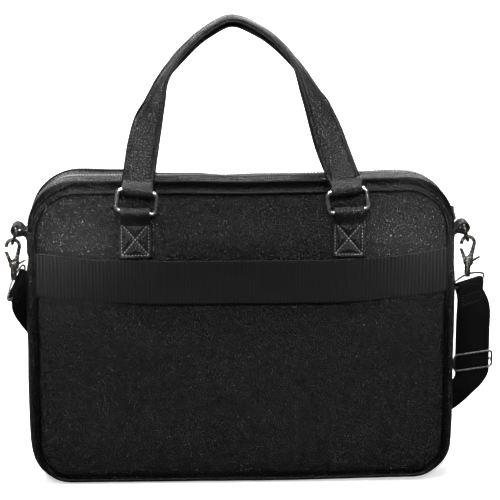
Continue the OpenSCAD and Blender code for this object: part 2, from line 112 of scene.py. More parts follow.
camera()
area("top_light", (-0.1, -0.1, 1.6), (0, 0, 0.25), (1.0, 0.45), 30)
area("front_left_light", (-0.6, -1.8, 1.5), (-0.08, 0, 0.22), (0.4, 0.3), 22)
area("front_right_light", (0.7, -1.8, 1.5), (0.08, 0, 0.22), (0.35, 0.3), 14)
for name, x, power in (("far_left_light", -0.7, 16), ("far_right_light", 0.7, 16)):
    area(name, (x, 1.8, 1.3), (0, 0, 0.2), (0.4, 0.3), power)
for name, x, power in (("near_light_left", -0.25, 0.06), ("near_light_right", 0.25, 0.055)):
    lamp = area(name, (x, -0.62, 0.38), (x * 0.68, 0, 0.244), (0.08, 0.08), power)
    lamp.visible_camera = False
    lamp.data.spread = math.radians(15)  # a narrow beam, for the shine on the upper corners
area("back_light", (0.3, 1.2, 1.7), (0, 0, 0.3), (1.0, 0.4), 6)
world = bpy.data.worlds.new("world")
world.use_nodes = True
seen = world.node_tree.nodes.new("ShaderNodeLightPath")
glow = world.node_tree.nodes.new("ShaderNodeMapRange")
glow.inputs["To Min"].default_value = 0.025
glow.inputs["To Max"].default_value = 1.0
world.node_tree.links.new(seen.outputs["Is Camera Ray"], glow.inputs["Value"])
world.node_tree.links.new(glow.outputs["Result"], world.node_tree.nodes["Background"].inputs["Strength"])
world.node_tree.nodes["Background"].inputs["Color"].default_value = (1, 1, 1, 1)
bpy.context.scene.world = world
bpy.context.scene.view_settings.view_transform = "Standard"

# ---------- materials ----------


class Nodes:
    """A small helper round one material's node tree."""

    def __init__(self, name, **sockets):
        self.mat = bpy.data.materials.new(name)
        self.mat.use_nodes = True
        self.tree = self.mat.node_tree
        self.tree.nodes.clear()
        out = self.tree.nodes.new("ShaderNodeOutputMaterial")
        self.bsdf = self.tree.nodes.new("ShaderNodeBsdfPrincipled")
        self.tree.links.new(self.bsdf.outputs[0], out.inputs[0])
        for key, value in sockets.items():
            self.bsdf.inputs[key.replace("_", " ")].default_value = value
        self.coord = self.tree.nodes.new("ShaderNodeTexCoord")

    def link(self, a, b):
        self.tree.links.new(a, b)

    def tex(self, kind, scale, at=None, feature=None, **sockets):
        node = self.tree.nodes.new(kind)
        if feature:
            node.feature = feature
        for key, value in {"Scale": scale, **sockets}.items():
            node.inputs[key].default_value = value
        self.link(at or self.coord.outputs["Object"], node.inputs["Vector"])
        return node

    def noise(self, scale, detail, **sockets):
        return self.tex("ShaderNodeTexNoise", scale, Detail=detail, **sockets).outputs["Fac"]

    def math(self, op, a, b=0.0):
        node = self.tree.nodes.new("ShaderNodeMath")
        node.operation = op
        for i, v in enumerate((a, b)):
            if isinstance(v, (int, float)):
                node.inputs[i].default_value = v
            else:
                self.link(v, node.inputs[i])
        return node.outputs[0]

    def add(self, a, b):
        return self.math("ADD", a, b)

    def mul(self, a, b):
        return self.math("MULTIPLY", a, b)

    def spread(self, value, a, b, c, d):
        """Value mapped from the range a to b onto the range c to d."""
        node = self.tree.nodes.new("ShaderNodeMapRange")
        self.link(value, node.inputs["Value"])
        for key, v in zip(("From Min", "From Max", "To Min", "To Max"), (a, b, c, d)):
            node.inputs[key].default_value = v
        return node.outputs["Result"]

    def ramp(self, value, stops):
        node = self.tree.nodes.new("ShaderNodeValToRGB")
        el = node.color_ramp.elements
        while len(el) < len(stops):
            el.new(0.5)
        for e, (pos, col) in zip(el, stops):
            e.position = pos
            e.color = (*col, 1)
        self.link(value, node.inputs["Fac"])
        return node.outputs["Color"]

    def bump(self, height, strength, distance):
        node = self.tree.nodes.new("ShaderNodeBump")
        node.inputs["Strength"].default_value = strength
        node.inputs["Distance"].default_value = distance
        self.link(height, node.inputs["Height"])
        return node.outputs["Normal"]

    def set(self, socket, value):
        self.link(value, self.bsdf.inputs[socket])


def leather(name, cell, depth, rough, spec):
    """Black pebbled leather: cell is the size of a pebble, depth its relief, both in metres."""
    n = Nodes(name, Specular_IOR_Level=spec)
    shift = n.tex("ShaderNodeTexNoise", 260, Detail=2)
    mix = n.tree.nodes.new("ShaderNodeMix")
    mix.data_type = "VECTOR"
    mix.inputs["Factor"].default_value = 0.0009
    n.link(n.coord.outputs["Object"], mix.inputs[4])
    n.link(shift.outputs["Color"], mix.inputs[5])
    at = mix.outputs[1]
    pebble = n.tex("ShaderNodeTexVoronoi", 1 / cell, at, feature="DISTANCE_TO_EDGE")
    small = n.tex("ShaderNodeTexVoronoi", 2.3 / cell, at, feature="DISTANCE_TO_EDGE")
    fine = n.noise(2400.0, 3.0)
    broad = n.noise(17.0, 3.0)
    middle = n.noise(120.0, 2.0)
    crease = n.spread(pebble.outputs["Distance"], 0.0, 0.22, 0.0, 1.0)
    crease2 = n.spread(small.outputs["Distance"], 0.0, 0.25, 0.0, 0.35)
    height = n.add(n.add(n.add(crease, crease2), n.mul(fine, 0.25)), n.mul(middle, 0.9))
    n.set("Normal", n.bump(height, 0.85, depth))
    shade = n.mul(n.spread(broad, 0.3, 0.7, 0.35, 1.0), n.spread(crease, 0, 1, 0.55, 1.0))
    n.set("Base Color", n.ramp(shade, [(0.15, (0.001, 0.001, 0.00103)), (1.0, (0.004, 0.004, 0.00408))]))
    n.set("Roughness", n.add(n.spread(broad, 0.3, 0.7, rough + 0.03, rough - 0.02),
                             n.spread(crease, 0, 1, 0.1, 0.0)))
    return n.mat


def webbing(name, along, across, colour, rough, depth, sheen, spec):
    """Ribs across the webbing, crossed by finer yarns: along and across are the spacings in metres."""
    n = Nodes(name, Sheen_Weight=sheen, Sheen_Roughness=0.6, Specular_IOR_Level=spec)
    split = n.tree.nodes.new("ShaderNodeSeparateXYZ")
    n.link(n.coord.outputs["UV"], split.inputs[0])
    u = n.math("SINE", n.mul(split.outputs["X"], 2 * math.pi / along))
    v = n.math("SINE", n.mul(split.outputs["Y"], 2 * math.pi / across))
    rib = n.math("POWER", n.spread(u, -1, 1, 0, 1), 0.7)
    yarn = n.spread(v, -1, 1, 0, 1)
    fuzz = n.noise(2600.0, 3.0)
    broad = n.noise(30.0, 2.0)
    h = n.add(rib, n.mul(yarn, 0.25))
    h = n.add(h, n.mul(fuzz, 0.5))
    n.set("Normal", n.bump(h, 0.8, depth))
    shade = n.mul(n.spread(rib, 0, 1, 0.5, 1.0), n.spread(broad, 0.3, 0.7, 0.7, 1.0))
    n.set("Base Color", n.ramp(shade, [(0.1, tuple(0.45 * c for c in colour)), (1.0, colour)]))
    n.set("Roughness", n.spread(fuzz, 0.3, 0.7, rough - 0.06, rough + 0.08))
    return n.mat


def metal(name, bright, dark, rough, patina, scale=260.0, bump=0.00006):
    """Metal with dark patches; patina is how much of it they cover."""
    n = Nodes(name, Metallic=1.0)
    cloud = n.noise(scale, 5.0, Roughness=0.65)
    scratch = n.noise(3200.0, 2.0)
    mask = n.spread(cloud, 0.5 - patina, 0.62, 0.0, 1.0)
    n.set("Base Color", n.ramp(mask, [(0.0, dark), (1.0, bright)]))
    n.set("Roughness", n.add(n.spread(mask, 0, 1, rough + 0.22, rough),
                             n.spread(scratch, 0.3, 0.7, -0.03, 0.05)))
    h = n.add(cloud, n.mul(scratch, 0.2))
    n.set("Normal", n.bump(h, 0.5, bump))
    return n.mat


def woven(name, colour, spacing):
    """Plain cloth with crossing threads."""
    rough = 0.85
    n = Nodes(name, Sheen_Weight=0.3, Sheen_Roughness=0.5, Specular_IOR_Level=0.25)
    split = n.tree.nodes.new("ShaderNodeSeparateXYZ")
    n.link(n.coord.outputs["Object"], split.inputs[0])
    k = 2 * math.pi / spacing
    a = n.math("SINE", n.mul(n.add(split.outputs["X"], split.outputs["Y"]), k))
    b = n.math("SINE", n.mul(split.outputs["Z"], k))
    cloud = n.noise(40.0, 3.0)
    fuzz = n.noise(2200.0, 2.0)
    h = n.add(n.mul(a, b), n.mul(fuzz, 0.8))
    n.set("Normal", n.bump(h, 0.5, 0.0002))
    shade = n.mul(n.spread(h, -1, 1.5, 0.6, 1.0), n.spread(cloud, 0.3, 0.7, 0.75, 1.0))
    n.set("Base Color", n.ramp(shade, [(0.2, tuple(0.5 * c for c in colour)), (1.0, colour)]))
    n.set("Roughness", n.spread(fuzz, 0.3, 0.7, rough - 0.05, rough + 0.08))
    return n.mat


def speckled(name, colour, rough):
    n = Nodes(name)
    grain = n.noise(2500.0, 4.0)
    broad = n.noise(35.0, 2.0)
    shade = n.mul(grain, n.spread(broad, 0.3, 0.7, 0.8, 1.3))
    n.set("Base Color", n.ramp(shade, [(0.25, tuple(0.6 * c for c in colour)), (0.8, colour)]))
    n.set("Roughness", n.spread(grain, 0.3, 0.7, rough - 0.08, rough + 0.08))
    n.set("Normal", n.bump(grain, 0.5, 0.0003))
    return n.mat


LEATHER = leather("black_leather", cell=0.0023, depth=0.0005, rough=0.25, spec=0.4)
HANDLE_LEATHER = leather("handle_leather", cell=0.0024, depth=0.0004, rough=0.27, spec=0.6)
CORD_LEATHER = leather("cord_leather", cell=0.0016, depth=0.00016, rough=0.22, spec=0.16)
BAND = webbing("trolley_webbing", 0.0034, 0.0016, (0.008, 0.008, 0.0084), 0.8, 0.0007, 0.03, 0.22)
STRAP = webbing("strap_webbing", 0.0022, 0.0018, (0.0035, 0.0035, 0.0037), 0.9, 0.00035, 0.02, 0.12)
TAPE = woven("zip_tape", (0.012, 0.012, 0.013), 0.0008)
LINING = woven("lining_cloth", (0.075, 0.08, 0.09), 0.0011)
DIVIDER = woven("divider_cloth", (0.06, 0.062, 0.07), 0.0014)
THREAD = speckled("thread", (0.05, 0.05, 0.052), 0.42)
# light grey thread for the crossed tab seams: partly the thread's own colour, mostly a painted highlight for
# the shine along the seams
SHINE_TAB_THREAD = speckled("tab_thread_painted_shine", (0.4, 0.4, 0.41), 0.4)
STEEL = metal("ring_steel", (0.92, 0.91, 0.89), (0.6, 0.59, 0.58), 0.22, 0.3)
ANTIQUE = metal("antique_metal", (0.33, 0.315, 0.29), (0.035, 0.032, 0.03), 0.33, 0.06, 420.0, 0.00014)
BUCKLE = metal("buckle_metal", (0.5, 0.49, 0.47), (0.12, 0.115, 0.11), 0.36, 0.15, 420.0, 0.0001)
ZIP_METAL = metal("zip_teeth_metal", (0.24, 0.24, 0.25), (0.08, 0.08, 0.085), 0.3, 0.2, 700.0)

# ---------- mesh helpers ----------


def ease(t):
    """A smooth step from 0 to 1."""
    t = max(0.0, min(1.0, t))
    return t * t * (3 - 2 * t)


def table(rows, x):
    """Smooth interpolation in rows of (x, value)."""
    if x <= rows[0][0]:
        return rows[0][1]
    for (a, u), (b, v) in zip(rows, rows[1:]):
        if x <= b:
            return u + (v - u) * ease((x - a) / (b - a))
    return rows[-1][1]


def wob(a, b=0.0, c=0.0):
    """Repeatable unevenness, about -1 to 1."""
    return noise.noise(Vector((a, b, c)))


def build(name, parts, material, uv=None, smooth=True):
    """One object from a list of (vertices in mm, faces)."""
    verts, faces = [], []
    for v, f in parts:
        k = len(verts)
        verts += v
        faces += [tuple(i + k for i in face) for face in f]
    me = bpy.data.meshes.new(name)
    me.from_pydata([(x * MM, y * MM, z * MM) for x, y, z in verts], [], faces)
    bm = bmesh.new()
    bm.from_mesh(me)
    bmesh.ops.recalc_face_normals(bm, faces=bm.faces)
    bm.to_mesh(me)
    bm.free()
    if uv:
        layer = me.uv_layers.new(name="weave")
        for lp in me.loops:
            layer.data[lp.index].uv = uv[lp.vertex_index]
    me.polygons.foreach_set("use_smooth", [smooth] * len(me.polygons))
    me.materials.append(material)
    ob = linked(name, me)
    return ob


def loft(rings, loop=False):
    """A closed surface through rings of points; with loop the last ring joins the first."""
    n, m = len(rings), len(rings[0])
    verts = [tuple(p) for r in rings for p in r]
    faces = []
    for i in range(n if loop else n - 1):
        a, b = i * m, ((i + 1) % n) * m
        for j in range(m):
            k = (j + 1) % m
            faces.append((a + j, a + k, b + k, b + j))
    if not loop:
        faces.append(tuple(range(m - 1, -1, -1)))
        faces.append(tuple((n - 1) * m + j for j in range(m)))
    return verts, faces


def plate(top, bottom):
    """A closed sheet between two grids of points."""
    n, m = len(top), len(top[0])
    verts = [tuple(p) for r in top for p in r] + [tuple(p) for r in bottom for p in r]
    s = n * m
    faces = []
    for i in range(n - 1):
        for j in range(m - 1):
            a = i * m + j
            faces += [(a, a + 1, a + m + 1, a + m), (s + a, s + a + m, s + a + m + 1, s + a + 1)]
    rims = [(i * m + j, (i + 1) * m + j) for i in range(n - 1) for j in (0, m - 1)]
    rims += [(i * m + j, i * m + j + 1) for j in range(m - 1) for i in (0, n - 1)]
    faces += [(a, b, s + b, s + a) for a, b in rims]
    return verts, faces


def slab(rows, columns, point):
    """A closed sheet; point(row, column) gives its outer and its inner face."""
    grid = [[point(r, c) for c in columns] for r in rows]
    return plate([[a for a, _ in line] for line in grid], [[b for _, b in line] for line in grid])


def curve(rows, steps):
    """Catmull-Rom through rows of numbers."""
    out = []
    n = len(rows)
    for i in range(n - 1):
        a, b, c, d = rows[max(i - 1, 0)], rows[i], rows[i + 1], rows[min(i + 2, n - 1)]
        for k in range(steps):
            t = k / steps
            out.append([0.5 * (2 * q + (r - p) * t + (2 * p - 5 * q + 4 * r - s) * t * t
                               + (3 * q - p - 3 * r + s) * t ** 3) for p, q, r, s in zip(a, b, c, d)])
    out.append(list(rows[-1]))
    return out


def heading(pts, i):
    """Unit direction of a flat path at its point i."""
    a, b = pts[max(i - 1, 0)], pts[min(i + 1, len(pts) - 1)]
    return Vector((b[0] - a[0], b[1] - a[1])).normalized()


def stitches(path, pitch=3.3, size=2.3, r=0.42):
    """Threads along a path of (point, normal) pairs, sinking into the leather at each end."""
    parts = []
    pts = [Vector(p) for p, _ in path]
    nor = [Vector(q).normalized() for _, q in path]
    run = [0.0]
    for a, b in zip(pts, pts[1:]):
        run.append(run[-1] + (b - a).length)
    count = max(1, int(run[-1] / pitch))
    i = 0
    for k in range(count):
        s = (k + 0.5) * run[-1] / count
        while run[i + 1] < s:
            i += 1
        t = (s - run[i]) / max(1e-9, run[i + 1] - run[i])
        c = pts[i].lerp(pts[i + 1], t)
        along = (pts[i + 1] - pts[i]).normalized()
        n = nor[i].lerp(nor[i + 1], t).normalized()
        side = along.cross(n).normalized()
        rings = []
        for q, f in ((-1, 0.3), (-0.75, 0.8), (0, 1.0), (0.75, 0.8), (1, 0.3)):
            mid = c + along * (q * size / 2) + n * (r * 0.35 - 0.4 * q * q)
            rings.append([mid + (n * math.cos(a) + side * math.sin(a)) * (r * f)
                          for a in (0, 1.05, 2.09, 3.14, 4.19, 5.24)])
        parts.append(loft(rings))
    return parts


def box_lines(x0, z0, x1, z1):
    return [((x0, z0), (x1, z0)), ((x1, z0), (x1, z1)), ((x1, z1), (x0, z1)), ((x0, z1), (x0, z0))]


def sewn(lines, steps, at, *sizes):
    """Stitches along straight lines; at(u, v) gives a point and its normal."""
    parts = []
    for (a, b), (c, d) in lines:
        shares = [k / steps for k in range(steps + 1)]
        parts += stitches([at(a + (c - a) * f, b + (d - b) * f) for f in shares], *sizes)
    return parts


# ---------- the soft shape of the bag ----------
# (x, mm) tables of how far the top sinks at the front and rises at the rear

FRONT_DROOP = [(-175, -0.5), (-150, -0.5), (-120, 0.6), (-96, 2.5), (-75, 4.6), (-45, 5.0), (-15, 6.6),
               (15, 5.8), (60, 5.4), (95, 4.8), (150, 3.4), (180, 2.2), (205, 0.5)]
REAR_RISE = [(-205, 0.0), (-60, -0.4), (0, -1.2), (60, -0.4), (120, 1.0), (165, 1.8), (205, 0.8)]


def warp(x, y, z):
    """How the soft bag departs from its pattern: the top sags and waves, and one bottom corner lifts."""
    top = ease((z - 205) / 88)
    front = ease((y - 2) / 32)
    dz = top * ((1 - front) * table(REAR_RISE, x) - front * table(FRONT_DROOP, x))
    dz += top * 0.9 * wob(x / 31, 3.1) * math.exp(-((abs(y) - 20) / 12) ** 2) * (1 if abs(x) < 165 else 0.4)
    dz += top * 0.7 * wob(x / 47, 8.7) * math.exp(-(y / 9) ** 2)
    dz -= 4.9 * top * ease((abs(y) - 32) / 1.2) * ease((299.8 - z) / 4)
    dz += 2.2 * ease((60 - z) / 60) * ease((x - 30) / 150)
    return x, y, z + dz


def outline(s):
    """Point and inward direction at distance s along the outline from the top middle, +X first."""
    sign, a = (1 if s >= 0 else -1), abs(s)
    top, arc1, side, arc2 = FLAT_TOP, TOP_R * math.pi / 2, SIDE_RUN, BOT_R * math.pi / 2
    if a <= top:
        x, z, nx, nz = a, TOP, 0, -1
    elif a <= top + arc1:
        t = (a - top) / TOP_R
        nx, nz = -math.sin(t), -math.cos(t)
        x, z = FLAT_TOP - TOP_R * nx, CORNER_Z - TOP_R * nz
    elif a <= top + arc1 + side:
        x, z, nx, nz = HALF, CORNER_Z - (a - top - arc1), -1, 0
    elif a <= top + arc1 + side + arc2:
        t = (a - top - arc1 - side) / BOT_R
        nx, nz = -math.cos(t), math.sin(t)
        x, z = FLAT_BASE - BOT_R * nx, BOT_R - BOT_R * nz
    else:
        x, z, nx, nz = max(0.0, FLAT_BASE - (a - top - arc1 - side - arc2)), 0, 0, 1
    return sign * x, z, sign * nx, nz


def spans(a, b):
    """Distances from a to b, closer together round the corners."""
    out, s = [a], a
    while s < b - 1e-6:
        u = abs(s)
        fine = FLAT_TOP - 6 < u < ZIP_END + 4 or ZIP_END + SIDE_RUN - 4 < u < ZIP_END + SIDE_RUN + 62
        s = min(b, s + (3.4 if fine else STEP))
        out.append(s)
    return out


def low(z):
    """1 at the floor, fading to 0 above it."""
    return ease(1 - z / 24)


def on_outline(s, y, inset, inset_low):
    """Point at a depth inside the outline; the depth changes to inset_low at the floor."""
    x, z, nx, nz = outline(s)
    d = inset + (inset_low - inset) * low(z)
    return warp(x + nx * d, y, z + nz * d)


def across_outline(s):
    """Outward direction at distance s along the outline."""
    _, _, nx, nz = outline(s)
    return -nx, 0, -nz


def ring_loft(profile, stations, side=1):
    """Loft a closed profile of (y, inset, inset at the bottom) along the outline."""
    return loft([[on_outline(s, side * p[0], *p[1:]) for p in profile] for s in stations])


def raised(z):
    """Height in the panel's pattern, which reaches a little lower at the bottom than an even inset."""
    return BOT_R - (BOT_R - z) * 0.9137 if z < BOT_R else z


def edge_distance(x, z):
    """How far a point is inside the panel's edge."""
    z = raised(z)
    ax = abs(x)
    if ax > FLAT_TOP and z > CORNER_Z:
        return TOP_R - EDGE - math.hypot(ax - FLAT_TOP, z - CORNER_Z)
    if ax > FLAT_BASE and z < BOT_R:
        return BOT_R - EDGE - math.hypot(ax - FLAT_BASE, z - BOT_R)
    return min(HALF - EDGE - ax, TOP - EDGE - z, z - EDGE)


def half_width(z, inset):
    """Half the bag's width at a height, less an inset."""
    if z > CORNER_Z:
        return FLAT_TOP + math.sqrt(max(0, (TOP_R - inset) ** 2 - (z - CORNER_Z) ** 2))
    if z < BOT_R:
        return FLAT_BASE + math.sqrt(max(0, (BOT_R - inset) ** 2 - (BOT_R - z) ** 2))
    return HALF - inset


# soft bulges of the rear panel: x, z, two radii and height
REAR_LUMPS = [(-146, 226, 30, 24, 5.6), (144, 232, 30, 24, 4.8), (124, 230, 10, 18, 1.2),
              (0, 240, 90, 24, 2.4), (-70, 130, 60, 50, 0.8), (90, 110, 70, 50, 0.7), (-140, 60, 50, 34, 0.6)]


def skin_y(x, z, front=False):
    """Outward distance of the panel's surface from the middle plane."""
    d = max(0.0, edge_distance(x, z))
    y = 36.7 + 2.1 * (1 - math.exp(-d / 2.4)) + 0.4 * (1 - math.exp(-d / 14))
    y += 0.7 * (1 - (x / 198) ** 4) * (1 - ((z - 150) / 146) ** 4)
    soft = 1 - math.exp(-d / 14)
    seed = 40.0 if front else 0.0
    y += soft * (0.45 * wob(x / 62, z / 62, seed) + 0.2 * wob(x / 24, z / 24, seed + 7))
    y += 0.3 * math.exp(-d / 6) * wob(x / 8, z / 8, seed + 3) * min(1, d)
    if not front:
        for cx, cz, rx, rz, h in REAR_LUMPS:
            y += soft * h * math.exp(-((x - cx) / rx) ** 2 - ((z - cz) / rz) ** 2)
    y += soft * 1.3 * math.exp(-((z - 30) / 34) ** 2) * (1 - (x / HALF) ** 4)
    return y


def panel(front):
    side = 1 if front else -1
    edge = [0, 0.45, 1.1, 2.0, 3.2, 4.8, 7.0, 10.0, 14.0]
    z0, z1 = EDGE / 2, TOP - EDGE
    zs = [z0 + e for e in edge]
    zs += [z0 + 14 + (z1 - z0 - 28) * i / 66 for i in range(1, 66)] + [z1 - e for e in reversed(edge)]
    grid = []
    for z in zs:
        w = half_width(raised(z), EDGE)
        xs = [-w + e for e in edge] + [-w + 14 + 2 * (w - 14) * i / 92 for i in range(1, 92)]
        xs += [w - e for e in reversed(edge)]
        grid.append([warp(x, side * skin_y(x, z, front), z) for x in xs])
    n, m = len(grid), len(grid[0])
    verts = [p for r in grid for p in r]
    faces = [(i * m + j, i * m + j + 1, (i + 1) * m + j + 1, (i + 1) * m + j)
             for i in range(n - 1) for j in range(m - 1)]
    rim = list(range(m)) + [i * m + m - 1 for i in range(1, n)]
    rim += [(n - 1) * m + j for j in range(m - 2, -1, -1)] + [i * m for i in range(n - 2, 0, -1)]
    k = len(verts)
    for r in rim:
        x, y, z = verts[r]
        verts.append((x, side * 32.8, z))
    c = len(rim)
    faces += [(rim[i], rim[(i + 1) % c], k + (i + 1) % c, k + i) for i in range(c)]
    faces.append(tuple(range(k, k + c)))
    name = "front" if front else "rear"
    ob = build(name + "_panel_leather", [(verts, faces)], LEATHER)
    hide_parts(name + "_panel", name + "_padding")
    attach(ob, "bag")


panel(False)
panel(True)


def corded(front):
    side = 1 if front else -1
    stations = spans(-HALF_RUN, HALF_RUN)[:-1]
    rings = []
    for s in stations:
        r = 1.9 + 0.1 * wob(s / 7, side * 5.0)
        x, z, nx, nz = outline(s)
        ring = []
        for k in range(10):
            a = 2 * math.pi * k / 10
            d = 6.7 - 4.1 * low(z) + 0.25 * wob(s / 23, side * 9.0) + r * math.cos(a)
            y = 37.5 + 0.2 * wob(s / 17, 2.0) + r * math.sin(a)
            ring.append(warp(x + nx * d, side * y, z + nz * d))
        rings.append(ring)
    name = "front_piping" if front else "rear_piping"
    ob = build(name + "_cord", [loft(rings, loop=True)], CORD_LEATHER)
    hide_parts(name)
    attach(ob, "bag")


corded(False)
corded(True)

# edge of the leather strips, rounded where it meets the cord: y, inset, inset at the floor
SHOULDER = [(-36.0, 6.9, 2.2), (-34.3, 5.3, 1.8), (-33.6, 3.7, 1.5), (-33.8, 2.3, 1.2), (-34.5, 1.4, 0.9),
            (-34.7, 0.7, 0.5), (-33.9, 0.15, 0.2), (-31.5, 0, 0.1)]


def gusset():
    """Side and bottom strip in one piece, from zip end to zip end."""
    outer = SHOULDER + [(-24, -0.3, 0.1), (-12, -0.7, 0.1), (0, -0.8, 0.1)]
    outer = outer + [(-y, a, b) for y, a, b in reversed(outer[:-1])]
    ring = outer + [(y * 0.985, a + 1.5, b + 1.5) for y, a, b in reversed(outer)]
    stations = spans(ZIP_END - 1, HALF_RUN)
    rings = []
    for s in stations + [-s for s in reversed(stations[:-1])]:
        z = outline(s)[1]
        swell = 3.6 * ease(z / 60) * ease((232 - z) / 34)
        flat = 0.95 * ease((z - 80) / 12) * ease((164 - z) / 12)  # beside the strap adjuster
        row = []
        for y, a, b in ring:
            out = swell * (1 - flat * ease((y - 1) / 7)) + 0.5 * wob(s / 34, y / 22)
            row.append(on_outline(s, y, a - out * max(0, 1 - (y / 33) ** 2), b))
        rings.append(row)
    ob = build("gusset_leather", [loft(rings)], LEATHER)
    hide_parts("gusset")
    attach(ob, "bag")


gusset()


def shoulders(front):
    """Leather strip between the cord and the zip, round the top."""
    side = 1 if front else -1
    ring = SHOULDER + [(-28.6, -0.3, 0), (-26.6, -0.5, 0), (-25.2, -0.2, 0), (-25.0, 0.5, 0), (-26, 1.0, 0),
                       (-31.5, 2.0, 0), (-32.2, 4.3, 0), (-33.4, 6.4, 0), (-35.2, 7.6, 0)]
    stations = spans(-ZIP_END + 1, ZIP_END - 1)
    name = "front_shoulder" if front else "rear_shoulder"
    ob = build(name, [ring_loft([(-y, a, a) for y, a, _ in ring], stations, side)], CORD_LEATHER)
    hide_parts("front_corner_strips" if front else "rear_corner_strips")
    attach(ob, "bag")
    path = [(on_outline(s, side * 27.4, -0.45, 0), across_outline(s)) for s in stations]
    ob = build(name + "_stitches", stitches(path), THREAD)
    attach(ob, "bag")


shoulders(False)
shoulders(True)

# zip strips, tapes and teeth, in left and right halves
STRIP = [(31.6, 2.5), (29.8, 1.9), (28.3, 1.4), (25, 1.0), (21, 0.6), (15, 0.4), (11, 0.6), (7.8, 0.7),
         (6.4, 1.0), (6.0, 1.6), (6.4, 2.2), (12, 2.1), (20, 1.9), (28, 2.6), (31.4, 3.2)]
TAPE_RING = [(9.5, 2.5), (6, 2.3), (2.4, 1.6), (1.9, 1.8), (2.4, 2.1), (6, 2.8), (9.5, 3.0)]


def tooth(s, side):
    """One zip tooth, reaching over the middle: rows of y, upper and lower inset, and half width."""
    rings = []
    for y, d0, d1, h in ((2.7, 0.7, 1.9, 0.42), (2.0, 0.1, 2.3, 0.52), (0.2, -0.2, 2.4, 0.52),
                         (-0.5, -0.1, 2.3, 0.58), (-1.1, 0.3, 1.9, 0.4)):
        rings.append([on_outline(s + way * h, side * y, d, d) for way, d in
                      ((-1, d0 + 0.15), (-0.7, d0), (0.7, d0), (1, d0 + 0.15), (1, d1), (-1, d1))])
    return loft(rings)


def zip_half(front, right):
    side = 1 if front else -1
    way = 1 if right else -1
    name = ("front" if front else "rear") + ("_right" if right else "_left")
    body = "front_zip_flap" if front else "rear_zip_flap"
    stations = [way * s for s in spans(0, ZIP_END - 2)]
    strip = build(name + "_zip_strip", [ring_loft([(y, a, a) for y, a in STRIP], stations, side)],
                  CORD_LEATHER)
    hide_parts(body)
    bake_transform(strip)
    tape = build(name + "_zip_tape", [ring_loft([(y, a, a) for y, a in TAPE_RING], stations, side)], TAPE)
    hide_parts("corner_zips")
    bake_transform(tape)
    path = [(on_outline(s, side * 9.2, 0.8, 0), across_outline(s)) for s in stations]
    thread = build(name + "_zip_stitches", stitches(path, 3.0, 2.2, 0.36), THREAD)
    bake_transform(thread)
    pitch = 3.0
    first = 0.75 + (pitch / 2 if front == right else 0.0)
    parts = [tooth(way * (pitch * k + first), side) for k in range(int((ZIP_END - 3) / pitch))]
    teeth = build(name + "_zip_teeth", parts, ZIP_METAL, smooth=False)
    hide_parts(body.replace("flap", "teeth"))
    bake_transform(teeth)


for at_front in (False, True):
    for at_right in (False, True):
        zip_half(at_front, at_right)


def end_tabs():
    parts = []
    for sgn in (-1, 1):
        rings = []
        for y in (-7.2, -6.8, -4, 0, 4, 6.8, 7.2):
            k = 0.55 if abs(y) > 7 else 1.0
            rings.append([(sgn * (HALF + 0.1 + dx * k), y, CORNER_Z - 1.4 + dz * k) for dx, dz in
                          ((0, -2.4), (0.9, -2.2), (1.5, -1.2), (1.6, 0.6), (1.1, 2.0), (0.2, 2.4),
                           (-0.8, 1.6), (-0.8, -1.6))])
        parts.append(loft(rings))
    ob = build("zip_end_patches", parts, LEATHER)
    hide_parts("zip_end_tabs")
    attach(ob, "bag")


end_tabs()

# ---------- trolley band ----------


BAND_LONG, BAND_WIDE, BAND_Z = 397.0, 42.0, 202.2


def band_y(x, z):
    """The band stands off the panel in its middle."""
    return skin_y(x, z) + 0.5 + 3.3 * ease((135 - abs(x)) / 60)


def band_rise(x):
    """The band's ends are sewn in higher than its middle."""
    return 9.0 * (max(0, abs(x) - 75) / 123) ** 2 * (1.12 if x > 0 else 0.86)


def band():
    xs = [BAND_LONG * (i / 110 - 0.5) for i in range(111)]
    fr = [-1, -0.985, -0.95, -0.8, -0.6, -0.4, -0.2, 0, 0.2, 0.4, 0.6, 0.8, 0.95, 0.985, 1]

    def point(x, f):
        z = BAND_Z + band_rise(x) + f * (BAND_WIDE / 2 + 0.35 * wob(x / 40, 1.0)) + 0.3 * wob(x / 26, 4.0)
        selvage = 0.25 * math.exp(-((abs(f) - 0.93) / 0.04) ** 2) - (0.45 if abs(f) > 0.99 else 0)
        y = band_y(x, z) + 0.25 * wob(x / 33, f * 1.3, 2.0)
        return (x, -(y + 1.3 + selvage), z), (x, -(y - 0.1), z)

    sheet = slab(xs, fr, point)
    uv = [(x * MM, z * MM) for x, _, z in sheet[0]]
    ob = build("trolley_band_webbing", [sheet], BAND, uv=uv)
    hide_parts("trolley_band")
    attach(ob, "bag")
    parts = []
    for x in (-195.5, 195.5):
        zs = [BAND_Z - 0.2 + band_rise(x) + k for k in range(-19, 20, 2)]
        parts += stitches([((x, -(band_y(x, z) + 1.35), z), (0, -1, 0)) for z in zs], 2.6, 1.9, 0.35)
    ob = build("trolley_band_stitches", parts, THREAD)
    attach(ob, "bag")


band()

# ---------- handle tabs, rings and handles ----------


RING_X, _, RING_Z = joint_at("rear_right_ring_swing")
RING_Y = joint_at("front_right_ring_swing")[1]


def strap_loop(path, half, thick, place, taper=0.96):
    """A strip, wide along X, that follows path (v, u) round a bar; place turns (x, v, u) into a point."""
    pts = curve(path, 4)
    rings = []
    n = len(pts)
    for i, (v, u) in enumerate(pts):
        t = heading(pts, i)
        nv, nu = t[1], -t[0]
        w = half * (1 - (1 - taper) * math.sin(math.pi * i / (n - 1)))
        rings.append([place(fx * w, v + nv * thick * ft, u + nu * thick * ft) for fx, ft in
                      ((-1, 0), (-0.985, 0.35), (-0.93, 0.5), (-0.5, 0.53), (0, 0.54), (0.5, 0.53),
                       (0.93, 0.5), (0.985, 0.35), (1, 0), (0.985, -0.35), (0.93, -0.5), (0, -0.5),
                       (-0.93, -0.5), (-0.985, -0.35))])
    return loft(rings)


